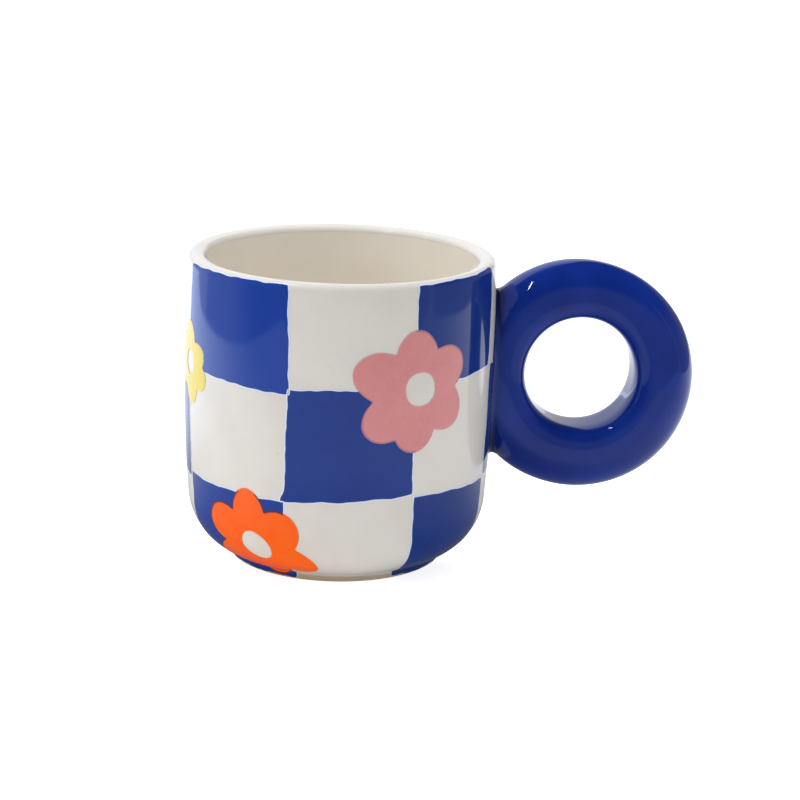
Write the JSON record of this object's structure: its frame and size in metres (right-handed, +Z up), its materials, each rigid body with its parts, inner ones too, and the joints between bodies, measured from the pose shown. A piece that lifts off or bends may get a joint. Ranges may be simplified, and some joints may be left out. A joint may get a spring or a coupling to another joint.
{
  "type": "mug",
  "caption": "Stoneware mug with a thick ring handle, a rounded lip and base, painted checks and simple flowers outside and a plain glazed inside.",
  "frame": {"origin": "on the cup's axis, at the plane of the foot ring that stands on the table", "axes": "+Z up along the cup's axis, +X from the axis through the middle of the ring handle"},
  "size_m": [0.1481, 0.09, 0.089],
  "materials": {
    "white_glaze": "glossy",
    "cobalt_glaze": "glossy",
    "slip": "glossy",
    "lining_glaze": "glossy",
    "blue_paint": "glossy",
    "pink_paint": "glossy",
    "orange_paint": "glossy",
    "yellow_paint": "glossy"
  },
  "bodies": {
    "root": {"cup_body": "white_glaze", "ring_handle": "cobalt_glaze", "handle_slip": "slip", "inside_glaze": "lining_glaze", "check_low_1": "blue_paint", "check_low_2": "blue_paint", "check_low_3": "blue_paint", "check_low_4": "blue_paint", "check_mid_1": "blue_paint", "check_mid_2": "blue_paint", "check_mid_3": "blue_paint", "check_mid_4": "blue_paint", "check_top_1": "blue_paint", "check_top_2": "blue_paint", "check_top_3": "blue_paint", "check_top_4": "blue_paint", "flower_pink": "pink_paint", "flower_orange": "orange_paint", "flower_yellow": "yellow_paint", "flower_pink_back": "pink_paint", "flower_orange_back": "orange_paint", "flower_yellow_back": "yellow_paint"}
  },
  "joints": []
}
